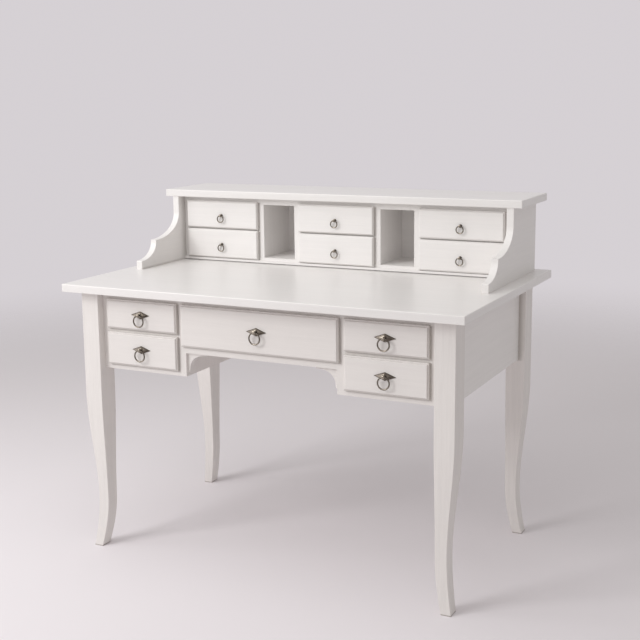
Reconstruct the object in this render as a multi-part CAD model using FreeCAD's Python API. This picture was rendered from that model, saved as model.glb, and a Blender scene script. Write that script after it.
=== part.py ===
"""Lady's writing desk with a drawer superstructure (bonheur du jour).

Frame: millimetres, +Z up, the front faces -Y, +X is the right hand of someone sitting at the
desk. The origin is on the floor under the middle of the table top. Left and right pieces are
drawn once, on the +X side, and mirrored. One STEP file is written for each piece.
"""
import FreeCAD
import Part
import os

from FreeCAD import Vector

# --- table -------------------------------------------------------------------------------
TABLE_WIDTH = 1200.0
TABLE_DEPTH = 768.0
TABLE_HEIGHT = 790.0
TOP_THICKNESS = 22.0
TOP_EDGE_RADIUS = 3.0
TOP_OVERHANG_SIDE = 37.0          # from the outer face of a leg
TOP_OVERHANG_FRONT = 42.0
TOP_OVERHANG_BACK = 66.0

# --- sabre legs, sawn to one curve on two faces --------------------------------------------
LEG_WIDTH = 56.0                  # the straight block beside the case
LEG_DEPTH = 66.0
LEG_BLOCK_LENGTH = 298.0          # straight part below the table top
LEG_EDGE_RADIUS = 1.5
ANKLE_HEIGHT = 150.0
ANKLE_SET_IN_SIDE = 22.0          # outer side face behind the block at the ankle
ANKLE_SET_IN_FRONT = 11.5         # front face of a front leg, back face of a rear leg
ANKLE_WIDTH = 33.0
ANKLE_DEPTH = 43.0
FOOT_SET_IN_SIDE = 6.0
FOOT_SET_IN_FRONT = 1.0
FOOT_WIDTH = 28.0
FOOT_DEPTH = 38.0
FOOT_SWEEP_HEIGHT = 85.0          # below it a leg sweeps out to its toe

# --- case under the top --------------------------------------------------------------------
CASE_HEIGHT = 226.0
SIDE_PANEL_THICKNESS = 18.0
SIDE_PANEL_SET_IN = 20.0          # behind the outer faces of the legs
BACK_PANEL_THICKNESS = 12.0
BACK_PANEL_SET_IN = 10.0
FRAME_THICKNESS = 20.0
FRAME_SET_IN = 25.0               # behind the front faces of the legs
PARTITION_THICKNESS = 18.0
KNEE_HALF_WIDTH = 231.0
KNEE_HEAD_DROP = 159.0            # from the underside of the top to the knee hole
SPANDREL_WIDTH = 64.0
SPANDREL_HEIGHT = 53.0
SPANDREL_TIP = 7.0                # width of its lower end
SPANDREL_TAIL = 5.0               # height of its thin end under the rail
SPANDREL_THICKNESS = 18.0
SPANDREL_SET_IN = 8.0
TOP_RAIL = 30.5
STILE = 32.0                      # between the centre drawer and a side drawer
END_STILE = 28.0                  # between a side drawer and the leg
SIDE_OPENING_LOWER = 77.0
SIDE_OPENING_UPPER = 67.0
BOTTOM_RAIL = 24.0
CENTRE_RAIL = 28.0                # under the centre drawer
BOARD_THICKNESS = 12.0            # boards the drawers run on
GUIDE_HEIGHT = 12.0               # strips that keep a drawer straight

# --- superstructure ------------------------------------------------------------------------
HUTCH_HEIGHT = 226.0              # from the table top to the very top
HUTCH_TOP_THICKNESS = 21.5
HUTCH_TOP_OVERHANG_SIDE = 24.5
HUTCH_TOP_OVERHANG_FRONT = 3.5
HUTCH_SIDE_SET_IN = 43.5          # from the ends of the table top
HUTCH_SIDE_THICKNESS = 20.5
HUTCH_SIDE_EDGE_RADIUS = 1.2
HUTCH_SIDE_DEPTH = 217.5          # of the straight upper part
HUTCH_BACK_SET_IN = 27.5          # from the back edge of the table top
HUTCH_BACK_THICKNESS = 12.0
HUTCH_FRAME_SET_IN = 37.5         # behind the front edges of the sides
HUTCH_FRAME_THICKNESS = 18.0
HUTCH_BASE_THICKNESS = 18.0
HUTCH_BASE_PROUD = 9.0            # strip in front of the frame
HUTCH_BASE_GAP = 1.5              # strip below the lapping fronts
HUTCH_BASE_SHADOW = 2.5           # open joint between the strip and the table top
HUTCH_TOP_RAIL = 21.5
HUTCH_MID_RAIL = 18.0
HUTCH_LOWER_OPENING = 76.0
HUTCH_CENTRE_HALF = 117.5         # half the opening of the two middle drawers
HUTCH_INNER_STILE = 25.3
PIGEONHOLE_WIDTH = 106.2
HUTCH_OUTER_STILE = 24.5
HUTCH_END_STILE = 21.0
PIGEONHOLE_WALL = 18.0
PIGEONHOLE_CEILING = 12.0
# scroll of a side: an upper and a lower cove with a short lip between, then the nose
UPPER_COVE_REACH = 131.0
UPPER_COVE_DROP = 71.0
STRAIGHT_ABOVE_COVE = 52.5
LIP_REACH = 2.0
LIP_DROP = 5.0
LOWER_COVE_REACH = 77.0
LOWER_COVE_DROP = 50.0
NOSE_ROUND = 3.0

# --- drawers -------------------------------------------------------------------------------
DRAWER_LIP = 9.0                  # the front laps over its opening
DRAWER_PROUD = 12.0               # thickness of the lapping front
DRAWER_LEDGE = 4.0                # flat ledge round the raised field of a front
DRAWER_STEP = 3.5                 # the field stands above its ledge
DRAWER_STEP_RADIUS = 2.5
DRAWER_LENGTH = 500.0
DRAWER_WALL = 10.0
DRAWER_FLOOR = 6.0
DRAWER_FLOOR_RISE = 8.0           # the sides run on, the floor is held above
SMALL_DRAWER_LIP = 7.0
SMALL_DRAWER_LEDGE = 3.0
SMALL_DRAWER_STEP = 3.0
SMALL_DRAWER_STEP_RADIUS = 2.0
SMALL_DRAWER_LENGTH = 150.0
SMALL_DRAWER_WALL = 8.0
SMALL_DRAWER_FLOOR = 4.0
SMALL_DRAWER_FLOOR_RISE = 5.0
FRONT_EDGE_RADIUS = 1.0           # outer edge of a front's ledge
FRONT_REBATE = 6.0                # inner thickness of a front, inside its opening
SLIDE_GAP = 0.4                   # drawer above its board
SIDE_GAP = 1.5
HEAD_GAP = 5.0
STOP_GAP = 0.3                    # closed front to frame

# --- pulls ---------------------------------------------------------------------------------
PULL_RISE = 3.0                   # pull above the middle of its drawer
PLATE_WIDTH = 61.0                # lozenge with four falling facets
PLATE_HEIGHT = 22.5
PLATE_EDGE = 1.4
PLATE_CROWN = 4.4
PLATE_CROWN_SCALE = 0.16
STUD_RADIUS = 5.0
STUD_LENGTH = 16.0
STUD_END_RADIUS = 2.0
EYE_DEPTH = 11.0                  # hole of the stud, from the drawer's face
RING_RADIUS = 16.0
RING_WIRE = 2.1
SMALL_PULL_RISE = -2.0
SMALL_ROSE_RADIUS = 5.0
SMALL_ROSE_THICKNESS = 1.6
SMALL_STUD_RADIUS = 3.9
SMALL_STUD_LENGTH = 12.0
SMALL_STUD_END_RADIUS = 1.3
SMALL_EYE_DEPTH = 8.0
SMALL_RING_RADIUS = 10.5
SMALL_RING_WIRE = 1.8
RING_PLAY = 1.0                   # ring in its eye, on the radius
EYE_DRILL_RUNOUT = 1.0            # drill past each side of a stud

# --- places that follow --------------------------------------------------------------------
CASE_TOP = TABLE_HEIGHT - TOP_THICKNESS
CASE_BOTTOM = CASE_TOP - CASE_HEIGHT
CASE_HALF = TABLE_WIDTH / 2 - TOP_OVERHANG_SIDE
CASE_FRONT = -TABLE_DEPTH / 2 + TOP_OVERHANG_FRONT
CASE_BACK = TABLE_DEPTH / 2 - TOP_OVERHANG_BACK
LEG_INNER = CASE_HALF - LEG_WIDTH
LEG_Y = (CASE_FRONT + LEG_DEPTH, CASE_BACK - LEG_DEPTH)    # inner faces, front and rear
FRAME_FRONT = CASE_FRONT + FRAME_SET_IN
FRAME_BACK = FRAME_FRONT + FRAME_THICKNESS
PANEL_BACK = CASE_BACK - BACK_PANEL_SET_IN
PANEL_FRONT = PANEL_BACK - BACK_PANEL_THICKNESS
SIDE_OUTER = CASE_HALF - SIDE_PANEL_SET_IN
SIDE_INNER = SIDE_OUTER - SIDE_PANEL_THICKNESS
PARTITION_OUTER = KNEE_HALF_WIDTH + PARTITION_THICKNESS
KNEE_HEAD = CASE_TOP - KNEE_HEAD_DROP
OPENING_HEAD = CASE_TOP - TOP_RAIL

HUTCH_TOP_Z = TABLE_HEIGHT + HUTCH_HEIGHT
HUTCH_UNDER_TOP = HUTCH_TOP_Z - HUTCH_TOP_THICKNESS
HUTCH_HALF_WIDTH = TABLE_WIDTH / 2 - HUTCH_SIDE_SET_IN
HUTCH_INNER = HUTCH_HALF_WIDTH - HUTCH_SIDE_THICKNESS
HUTCH_BACK = TABLE_DEPTH / 2 - HUTCH_BACK_SET_IN
HUTCH_BACK_INNER = HUTCH_BACK - HUTCH_BACK_THICKNESS
HUTCH_FRONT = HUTCH_BACK - HUTCH_SIDE_DEPTH
HUTCH_FRAME_FRONT = HUTCH_FRONT + HUTCH_FRAME_SET_IN
HUTCH_FRAME_BACK = HUTCH_FRAME_FRONT + HUTCH_FRAME_THICKNESS
HUTCH_FLOOR = TABLE_HEIGHT + HUTCH_BASE_THICKNESS
HUTCH_HEAD = HUTCH_UNDER_TOP - HUTCH_TOP_RAIL
PIGEON_INNER = HUTCH_CENTRE_HALF + HUTCH_INNER_STILE
PIGEON_OUTER = PIGEON_INNER + PIGEONHOLE_WIDTH

# Openings as (x0, x1, z0, z1), drawn on the right-hand side or across the middle.
SIDE_X = (KNEE_HALF_WIDTH + STILE, LEG_INNER - END_STILE)
LOWER_Z = (CASE_BOTTOM + BOTTOM_RAIL, CASE_BOTTOM + BOTTOM_RAIL + SIDE_OPENING_LOWER)
UPPER_Z = (OPENING_HEAD - SIDE_OPENING_UPPER, OPENING_HEAD)
CENTRE_Z = (KNEE_HEAD + CENTRE_RAIL, OPENING_HEAD)
CENTRE_X = (-KNEE_HALF_WIDTH, KNEE_HALF_WIDTH)
SMALL_SIDE_X = (PIGEON_OUTER + HUTCH_OUTER_STILE, HUTCH_INNER - HUTCH_END_STILE)
SMALL_CENTRE_X = (-HUTCH_CENTRE_HALF, HUTCH_CENTRE_HALF)
SMALL_LOWER_Z = (HUTCH_FLOOR, HUTCH_FLOOR + HUTCH_LOWER_OPENING)
SMALL_UPPER_Z = (SMALL_LOWER_Z[1] + HUTCH_MID_RAIL, HUTCH_HEAD)

CIRCLE_HANDLE = 0.5523            # handle length of a quarter curve
TIGHT_HANDLE = 0.7                # of one that hugs its corner
EASY_HANDLE = 1 / 3               # handle length of a gentle S-curve


# --- small tools ---------------------------------------------------------------------------
def board(x, y, z):
    """A board between pairs of x, y and z."""
    return Part.makeBox(x[1] - x[0], y[1] - y[0], z[1] - z[0], Vector(x[0], y[0], z[0]))


def mirrored(shape):
    """The left-hand copy of a right-hand piece."""
    return shape.mirror(Vector(0, 0, 0), Vector(1, 0, 0))


def joined(first, *others):
    """One solid from pieces that touch or overlap."""
    return first.fuse(list(others)).removeSplitter()


def eased(shape, radius, keep):
    """Round the edges that keep(edge) picks."""
    return shape.makeFillet(radius, [edge for edge in shape.Edges if keep(edge)])


def at_level(edge, axis, level):
    """True for an edge that lies wholly at one level of x, y or z (axis 0, 1 or 2)."""
    return all(abs(vertex.Point[axis] - level) < 1e-6 for vertex in edge.Vertexes)


def quarter(start, corner, end, handle=CIRCLE_HANDLE):
    """A quarter curve from start to end, tangent to the legs of the corner."""
    return bezier(start, start + (corner - start) * handle, end + (corner - end) * handle, end)


def bezier(*poles):
    curve = Part.BezierCurve()
    curve.setPoles(list(poles))
    return curve.toShape()


def line(start, end):
    return Part.makeLine(start, end)


def extruded(edges, direction):
    """A closed outline pushed along a direction."""
    return Part.Face(Part.Wire(edges)).extrude(direction)


# --- legs ----------------------------------------------------------------------------------
def sabre_curves(place, block, ankle, foot):
    """One sawn face of a leg, from its block in to the ankle and out to the toe.

    block, ankle and foot are its distances from the block's outer face at those heights.
    """
    block_end = CASE_TOP - LEG_BLOCK_LENGTH
    handle = (block_end - ANKLE_HEIGHT) * EASY_HANDLE
    return [bezier(place(block, block_end), place(block, block_end - handle),
                   place(ankle, ANKLE_HEIGHT + handle), place(ankle, ANKLE_HEIGHT)),
            bezier(place(ankle, ANKLE_HEIGHT), place(ankle, FOOT_SWEEP_HEIGHT), place(foot, 0))]


def leg_outline(place, block, ankle, foot):
    """Outline of a leg seen from one side; place(set_in, z) gives the point in space.

    block is its thickness in that view, ankle and foot are pairs: set in and thickness.
    """
    block_end = CASE_TOP - LEG_BLOCK_LENGTH
    outer = sabre_curves(place, 0, ankle[0], foot[0])
    inner = sabre_curves(place, block, sum(ankle), sum(foot))
    return [line(place(0, CASE_TOP), place(0, block_end)), *outer,
            line(place(foot[0], 0), place(sum(foot), 0)), *reversed(inner),
            line(place(block, block_end), place(block, CASE_TOP)),
            line(place(block, CASE_TOP), place(0, CASE_TOP))]


def right_leg(face_y, inward):
    """A right-hand leg; face_y is its outer face and inward is +1 or -1 along Y."""
    width, depth = LEG_WIDTH + ANKLE_SET_IN_SIDE, LEG_DEPTH + ANKLE_SET_IN_FRONT
    inside = CASE_HALF - width
    from_front = extruded(leg_outline(lambda s, z: Vector(CASE_HALF - s, face_y, z), LEG_WIDTH,
                                      (ANKLE_SET_IN_SIDE, ANKLE_WIDTH),
                                      (FOOT_SET_IN_SIDE, FOOT_WIDTH)),
                          Vector(0, inward * depth, 0))
    from_side = extruded(leg_outline(lambda s, z: Vector(inside, face_y + inward * s, z),
                                     LEG_DEPTH, (ANKLE_SET_IN_FRONT, ANKLE_DEPTH),
                                     (FOOT_SET_IN_FRONT, FOOT_DEPTH)),
                         Vector(width, 0, 0))
    leg = from_front.common(from_side)
    return eased(leg, LEG_EDGE_RADIUS,
                 lambda e: not at_level(e, 2, 0) and not at_level(e, 2, CASE_TOP)
                 and e.BoundBox.ZLength > max(e.BoundBox.XLength, e.BoundBox.YLength))


# --- table ---------------------------------------------------------------------------------
def table_top():
    slab = board((-TABLE_WIDTH / 2, TABLE_WIDTH / 2), (-TABLE_DEPTH / 2, TABLE_DEPTH / 2),
                 (CASE_TOP, TABLE_HEIGHT))
    return eased(slab, TOP_EDGE_RADIUS, lambda e: not at_level(e, 2, CASE_TOP))


def side_panel():
    return board((SIDE_INNER, SIDE_OUTER), LEG_Y, (CASE_BOTTOM, CASE_TOP))


def back_panel():
    panel = board((-LEG_INNER, LEG_INNER), (PANEL_FRONT, PANEL_BACK), (CASE_BOTTOM, CASE_TOP))
    knee = board((-KNEE_HALF_WIDTH, KNEE_HALF_WIDTH), (PANEL_FRONT, PANEL_BACK),
                 (CASE_BOTTOM, KNEE_HEAD))
    return panel.cut(knee)


def spandrel():
    """Right-hand bracket in the corner of the knee hole, with a hollow curve."""
    y = FRAME_FRONT + SPANDREL_SET_IN
    foot = KNEE_HEAD - SPANDREL_HEIGHT
    tail = KNEE_HEAD - SPANDREL_TAIL
    tip = KNEE_HALF_WIDTH - SPANDREL_TIP
    reach = KNEE_HALF_WIDTH - SPANDREL_WIDTH
    points = [Vector(tip, y, foot), Vector(KNEE_HALF_WIDTH, y, foot),
              Vector(KNEE_HALF_WIDTH, y, KNEE_HEAD), Vector(reach, y, KNEE_HEAD),
              Vector(reach, y, tail)]
    sides = [line(a, b) for a, b in zip(points, points[1:])]
    curve = quarter(points[-1], Vector(tip, y, tail), points[0], TIGHT_HANDLE)
    return extruded(sides + [curve], Vector(0, SPANDREL_THICKNESS, 0))


def face_frame():
    """Stiles and rails round the five drawers, with the knee hole and its two brackets."""
    depth = (FRAME_FRONT, FRAME_BACK)
    frame = board((-LEG_INNER, LEG_INNER), depth, (CASE_BOTTOM, CASE_TOP))
    frame = frame.cut(board(CENTRE_X, depth, CENTRE_Z))
    frame = frame.cut(board((-KNEE_HALF_WIDTH, KNEE_HALF_WIDTH), depth,
                            (CASE_BOTTOM, KNEE_HEAD)))
    for z in (LOWER_Z, UPPER_Z):
        hole = board(SIDE_X, depth, z)
        frame = frame.cut(hole).cut(mirrored(hole))
    bracket = spandrel()
    return joined(frame, bracket, mirrored(bracket))


def partition():
    return board((KNEE_HALF_WIDTH, PARTITION_OUTER), (FRAME_BACK, PANEL_FRONT),
                 (CASE_BOTTOM, CASE_TOP))


def drawer_board(running_level):
    """Board under a side drawer, notched round the legs, with a guide on each side."""
    y = (FRAME_BACK, PANEL_FRONT)
    z = (running_level - BOARD_THICKNESS, running_level)
    shelf = board((PARTITION_OUTER, SIDE_INNER), y, z)
    beyond_leg = (LEG_INNER, SIDE_INNER)
    shelf = shelf.cut(board(beyond_leg, (y[0], LEG_Y[0]), z))
    shelf = shelf.cut(board(beyond_leg, (LEG_Y[1], y[1]), z))
    strip = (running_level, running_level + GUIDE_HEIGHT)
    return joined(shelf, board((PARTITION_OUTER, SIDE_X[0]), y, strip),
                  board((SIDE_X[1], LEG_INNER), y, strip))


def centre_board():
    return board(CENTRE_X, (FRAME_BACK, PANEL_FRONT), (CENTRE_Z[0] - BOARD_THICKNESS, CENTRE_Z[0]))


# --- superstructure ------------------------------------------------------------------------
def hutch_side():
    """Right-hand side board with the scrolled front edge."""
    x = HUTCH_INNER
    cove_top = HUTCH_UNDER_TOP - STRAIGHT_ABOVE_COVE
    lip_y, lip_z = HUTCH_FRONT - UPPER_COVE_REACH, cove_top - UPPER_COVE_DROP
    step_y, step_z = lip_y - LIP_REACH, lip_z - LIP_DROP
    nose_y, nose_z = step_y - LOWER_COVE_REACH, step_z - LOWER_COVE_DROP
    a = Vector(x, HUTCH_BACK, TABLE_HEIGHT)
    b = Vector(x, HUTCH_BACK, HUTCH_UNDER_TOP)
    c = Vector(x, HUTCH_FRONT, HUTCH_UNDER_TOP)
    d = Vector(x, HUTCH_FRONT, cove_top)
    e = Vector(x, lip_y, lip_z)
    f = Vector(x, step_y, lip_z)
    g = Vector(x, step_y, step_z)
    h = Vector(x, nose_y, nose_z)
    i = Vector(x, nose_y - NOSE_ROUND, nose_z - NOSE_ROUND)
    j = Vector(x, nose_y - NOSE_ROUND, TABLE_HEIGHT)
    edges = [line(a, b), line(b, c), line(c, d),
             quarter(d, Vector(x, HUTCH_FRONT, lip_z), e), line(e, f), line(f, g),
             quarter(g, Vector(x, step_y, nose_z), h),
             quarter(h, Vector(x, nose_y - NOSE_ROUND, nose_z), i), line(i, j), line(j, a)]
    side = extruded(edges, Vector(HUTCH_SIDE_THICKNESS, 0, 0))
    return eased(side, HUTCH_SIDE_EDGE_RADIUS,
                 lambda e: e.BoundBox.XLength < 1e-6 and not at_level(e, 1, HUTCH_BACK)
                 and not at_level(e, 2, TABLE_HEIGHT) and not at_level(e, 2, HUTCH_UNDER_TOP))


def hutch_top():
    half = HUTCH_HALF_WIDTH + HUTCH_TOP_OVERHANG_SIDE
    slab = board((-half, half), (HUTCH_FRONT - HUTCH_TOP_OVERHANG_FRONT, TABLE_DEPTH / 2),
                 (HUTCH_UNDER_TOP, HUTCH_TOP_Z))
    return eased(slab, TOP_EDGE_RADIUS, lambda e: not at_level(e, 2, HUTCH_UNDER_TOP))


def hutch_guides(level):
    """Strips that keep the small drawers straight, on the board at this level."""
    y = (HUTCH_FRAME_BACK, HUTCH_BACK_INNER)
    z = (level, level + GUIDE_HEIGHT)
    pigeon = PIGEON_OUTER + PIGEONHOLE_WALL
    middle = board((HUTCH_CENTRE_HALF, PIGEON_INNER - PIGEONHOLE_WALL), y, z)
    inner = board((pigeon, SMALL_SIDE_X[0]), y, z)
    outer = board((SMALL_SIDE_X[1], HUTCH_INNER), y, z)
    return middle, inner, outer


def hutch_base():
    """Floor of the superstructure, with drawer guides and a low strip along its front."""
    x = (-HUTCH_INNER, HUTCH_INNER)
    slab = board(x, (HUTCH_FRAME_FRONT, HUTCH_BACK_INNER), (TABLE_HEIGHT, HUTCH_FLOOR))
    strip_top = HUTCH_FLOOR - SMALL_DRAWER_LIP - HUTCH_BASE_GAP
    strip = board(x, (HUTCH_FRAME_FRONT - HUTCH_BASE_PROUD, HUTCH_FRAME_FRONT),
                  (TABLE_HEIGHT + HUTCH_BASE_SHADOW, strip_top))
    guides = hutch_guides(HUTCH_FLOOR)
    return joined(slab, strip, *guides, *[mirrored(guide) for guide in guides])


def hutch_back():
    return board((-HUTCH_INNER, HUTCH_INNER), (HUTCH_BACK_INNER, HUTCH_BACK),
                 (TABLE_HEIGHT, HUTCH_UNDER_TOP))


def hutch_frame():
    """Stiles and rails round the six small drawers and the two pigeonholes."""
    y = (HUTCH_FRAME_FRONT, HUTCH_FRAME_BACK)
    frame = board((-HUTCH_INNER, HUTCH_INNER), y, (HUTCH_FLOOR, HUTCH_UNDER_TOP))
    hole = board((PIGEON_INNER, PIGEON_OUTER), y, (HUTCH_FLOOR, HUTCH_HEAD))
    frame = frame.cut(hole).cut(mirrored(hole))
    for z in (SMALL_LOWER_Z, SMALL_UPPER_Z):
        hole = board(SMALL_SIDE_X, y, z)
        frame = frame.cut(hole).cut(mirrored(hole)).cut(board(SMALL_CENTRE_X, y, z))
    return frame


def pigeonhole():
    """Right-hand letter box: two walls and a ceiling, open to the front."""
    y = (HUTCH_FRAME_BACK, HUTCH_BACK_INNER)
    outer = board((PIGEON_INNER - PIGEONHOLE_WALL, PIGEON_OUTER + PIGEONHOLE_WALL), y,
                  (HUTCH_FLOOR, HUTCH_HEAD + PIGEONHOLE_CEILING))
    return outer.cut(board((PIGEON_INNER, PIGEON_OUTER), y, (HUTCH_FLOOR, HUTCH_HEAD)))


def side_divider():
    """Board between the two small drawers on the right, with its guides."""
    level = SMALL_UPPER_Z[0]
    slab = board((PIGEON_OUTER + PIGEONHOLE_WALL, HUTCH_INNER),
                 (HUTCH_FRAME_BACK, HUTCH_BACK_INNER), (level - BOARD_THICKNESS, level))
    _, inner, outer = hutch_guides(level)
    return joined(slab, inner, outer)


def centre_divider():
    level = SMALL_UPPER_Z[0]
    half = PIGEON_INNER - PIGEONHOLE_WALL
    slab = board((-half, half), (HUTCH_FRAME_BACK, HUTCH_BACK_INNER),
                 (level - BOARD_THICKNESS, level))
    middle = hutch_guides(level)[0]
    return joined(slab, middle, mirrored(middle))


# --- drawers -------------------------------------------------------------------------------
LARGE = dict(frame=FRAME_FRONT, lip=DRAWER_LIP, ledge=DRAWER_LEDGE, step=DRAWER_STEP,
             step_radius=DRAWER_STEP_RADIUS, length=DRAWER_LENGTH, wall=DRAWER_WALL,
             floor=DRAWER_FLOOR, rise=DRAWER_FLOOR_RISE, pull_rise=PULL_RISE)
SMALL = dict(frame=HUTCH_FRAME_FRONT, lip=SMALL_DRAWER_LIP, ledge=SMALL_DRAWER_LEDGE,
             step=SMALL_DRAWER_STEP, step_radius=SMALL_DRAWER_STEP_RADIUS,
             length=SMALL_DRAWER_LENGTH, wall=SMALL_DRAWER_WALL, floor=SMALL_DRAWER_FLOOR,
             rise=SMALL_DRAWER_FLOOR_RISE, pull_rise=SMALL_PULL_RISE)


def face_of(size):
    """Y of the outer face of a closed drawer."""
    return size["frame"] - STOP_GAP - DRAWER_PROUD


def drawer_front(x, z, size):
    """Lapping front of the opening x, z: a ledge with a raised, round-edged field."""
    lip, face = size["lip"], face_of(size)
    ledge_y, back = face + size["step"], face + DRAWER_PROUD
    slab = board((x[0] - lip, x[1] + lip), (ledge_y, back), (z[0] - lip, z[1] + lip))
    slab = eased(slab, FRONT_EDGE_RADIUS, lambda e: at_level(e, 1, ledge_y))
    inset = lip - size["ledge"]
    field = board((x[0] - inset, x[1] + inset), (face, back), (z[0] - inset, z[1] + inset))
    field = eased(field, size["step_radius"], lambda e: at_level(e, 1, face))
    return joined(slab, field)


def drawer(x, z, size):
    """A drawer that fills the opening x, z; the front laps over the frame."""
    wall, face = size["wall"], face_of(size)
    front = drawer_front(x, z, size)
    inner_face = size["frame"] + FRONT_REBATE
    end = inner_face + size["length"]
    bx = (x[0] + SIDE_GAP, x[1] - SIDE_GAP)
    bz = (z[0] + SLIDE_GAP, z[1] - HEAD_GAP)
    box = board(bx, (face + DRAWER_PROUD, end), bz)
    inside = (bx[0] + wall, bx[1] - wall)
    floor_top = bz[0] + size["rise"] + size["floor"]
    box = box.cut(board(inside, (inner_face, end - wall), (floor_top, bz[1])))
    box = box.cut(board(inside, (inner_face, end), (bz[0], bz[0] + size["rise"])))
    return joined(front, box)


# --- pulls ---------------------------------------------------------------------------------
def stud(centre, radius, length, end_radius, eye_depth, eye_radius):
    """Round stud on a drawer face, with a cross hole for the ring."""
    body = Part.makeCylinder(radius, length, centre, Vector(0, -1, 0))
    body = eased(body, end_radius, lambda e: at_level(e, 1, centre.y - length))
    half = radius + EYE_DRILL_RUNOUT
    eye = Part.makeCylinder(eye_radius, 2 * half, centre + Vector(-half, -eye_depth, 0),
                            Vector(1, 0, 0))
    return body, eye


def lozenge(centre, y, scale):
    corners = [(PLATE_WIDTH / 2, 0), (0, PLATE_HEIGHT / 2), (-PLATE_WIDTH / 2, 0),
               (0, -PLATE_HEIGHT / 2), (PLATE_WIDTH / 2, 0)]
    return Part.makePolygon([centre + Vector(u * scale, y, w * scale) for u, w in corners])


def lozenge_plate(centre):
    """Lozenge plate with four facets that fall from the stud to a thin edge."""
    edge = Part.Face(lozenge(centre, 0, 1.0)).extrude(Vector(0, -PLATE_EDGE, 0))
    facets = Part.makeLoft([lozenge(centre, -PLATE_EDGE, 1.0),
                            lozenge(centre, -PLATE_CROWN, PLATE_CROWN_SCALE)], True, True)
    body, eye = stud(centre, STUD_RADIUS, STUD_LENGTH, STUD_END_RADIUS, EYE_DEPTH,
                     RING_WIRE + RING_PLAY)
    return joined(edge, facets, body).cut(eye)


def small_stud(centre):
    """Stud of a small drawer, on a round rose."""
    rose = Part.makeCylinder(SMALL_ROSE_RADIUS, SMALL_ROSE_THICKNESS, centre, Vector(0, -1, 0))
    body, eye = stud(centre, SMALL_STUD_RADIUS, SMALL_STUD_LENGTH, SMALL_STUD_END_RADIUS,
                     SMALL_EYE_DEPTH, SMALL_RING_WIRE + RING_PLAY)
    return joined(rose, body).cut(eye)


def ring(centre, eye_depth, radius, wire):
    """Ring that hangs in the eye of its stud."""
    return Part.makeTorus(radius, wire, centre + Vector(0, -eye_depth, -radius), Vector(0, 1, 0))


def pull_place(x, z, size):
    """Where a pull is fixed on the outer face of the drawer in the opening x, z."""
    return Vector((x[0] + x[1]) / 2, face_of(size), (z[0] + z[1]) / 2 + size["pull_rise"])


# --- the set -------------------------------------------------------------------------------
def flipped(x):
    """An opening's x pair on the left-hand side."""
    return (-x[1], -x[0])


def carcass():
    """Pieces that never move, by name."""
    pieces = {"table_top": table_top(), "back_panel": back_panel(), "face_frame": face_frame(),
              "centre_board": centre_board(), "hutch_top": hutch_top(),
              "hutch_base": hutch_base(), "hutch_back": hutch_back(),
              "hutch_frame": hutch_frame(), "hutch_divider_centre": centre_divider()}
    pairs = {"leg_front": right_leg(CASE_FRONT, 1), "leg_rear": right_leg(CASE_BACK, -1),
             "side_panel": side_panel(), "partition": partition(),
             "drawer_board_lower": drawer_board(LOWER_Z[0]),
             "drawer_board_upper": drawer_board(UPPER_Z[0]),
             "hutch_side": hutch_side(), "pigeonhole": pigeonhole(),
             "hutch_divider": side_divider()}
    for name, shape in pairs.items():
        pieces[name + "_right"] = shape
        pieces[name + "_left"] = mirrored(shape)
    return pieces


def large_drawers():
    """The five drawers under the top, each with its plate and ring."""
    places = {"left_lower": (flipped(SIDE_X), LOWER_Z), "left_upper": (flipped(SIDE_X), UPPER_Z),
              "centre": (CENTRE_X, CENTRE_Z),
              "right_lower": (SIDE_X, LOWER_Z), "right_upper": (SIDE_X, UPPER_Z)}
    pieces = {}
    for name, (x, z) in places.items():
        centre = pull_place(x, z, LARGE)
        pieces["drawer_" + name] = drawer(x, z, LARGE)
        pieces["plate_" + name] = lozenge_plate(centre)
        pieces["ring_" + name] = ring(centre, EYE_DEPTH, RING_RADIUS, RING_WIRE)
    return pieces


def small_drawers():
    """The six drawers of the superstructure, each with its stud and ring."""
    pieces = {}
    columns = {"left": flipped(SMALL_SIDE_X), "centre": SMALL_CENTRE_X, "right": SMALL_SIDE_X}
    rows = {"lower": SMALL_LOWER_Z, "upper": SMALL_UPPER_Z}
    for column, x in columns.items():
        for row, z in rows.items():
            name = column + "_" + row
            centre = pull_place(x, z, SMALL)
            pieces["small_drawer_" + name] = drawer(x, z, SMALL)
            pieces["small_stud_" + name] = small_stud(centre)
            pieces["small_ring_" + name] = ring(centre, SMALL_EYE_DEPTH, SMALL_RING_RADIUS,
                                                SMALL_RING_WIRE)
    return pieces


def main():
    os.makedirs("parts", exist_ok=True)
    pieces = {**carcass(), **large_drawers(), **small_drawers()}
    for name, shape in pieces.items():
        solids = shape.Solids
        if len(solids) != 1 or not shape.isValid():
            raise SystemExit("%s: %d solids, valid %s" % (name, len(solids), shape.isValid()))
        solids[0].exportStep(os.path.join("parts", name + ".step"))
    print("%d pieces" % len(pieces))


main()
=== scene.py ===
"""White writing desk: paint, wood, drawer pulls, floor, light and camera.

Everything is in metres in the model's own frame: the front faces -Y and +Z is up. Sizes that
the model already has are read from it, and only what is finer than the model is named here.
"""
import math
from typing import NamedTuple

import bmesh
import bpy
from bpy.props import FloatProperty, FloatVectorProperty, IntProperty, PointerProperty
from bpy.types import Operator, Panel, PropertyGroup
from mathutils import Matrix, Vector


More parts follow.
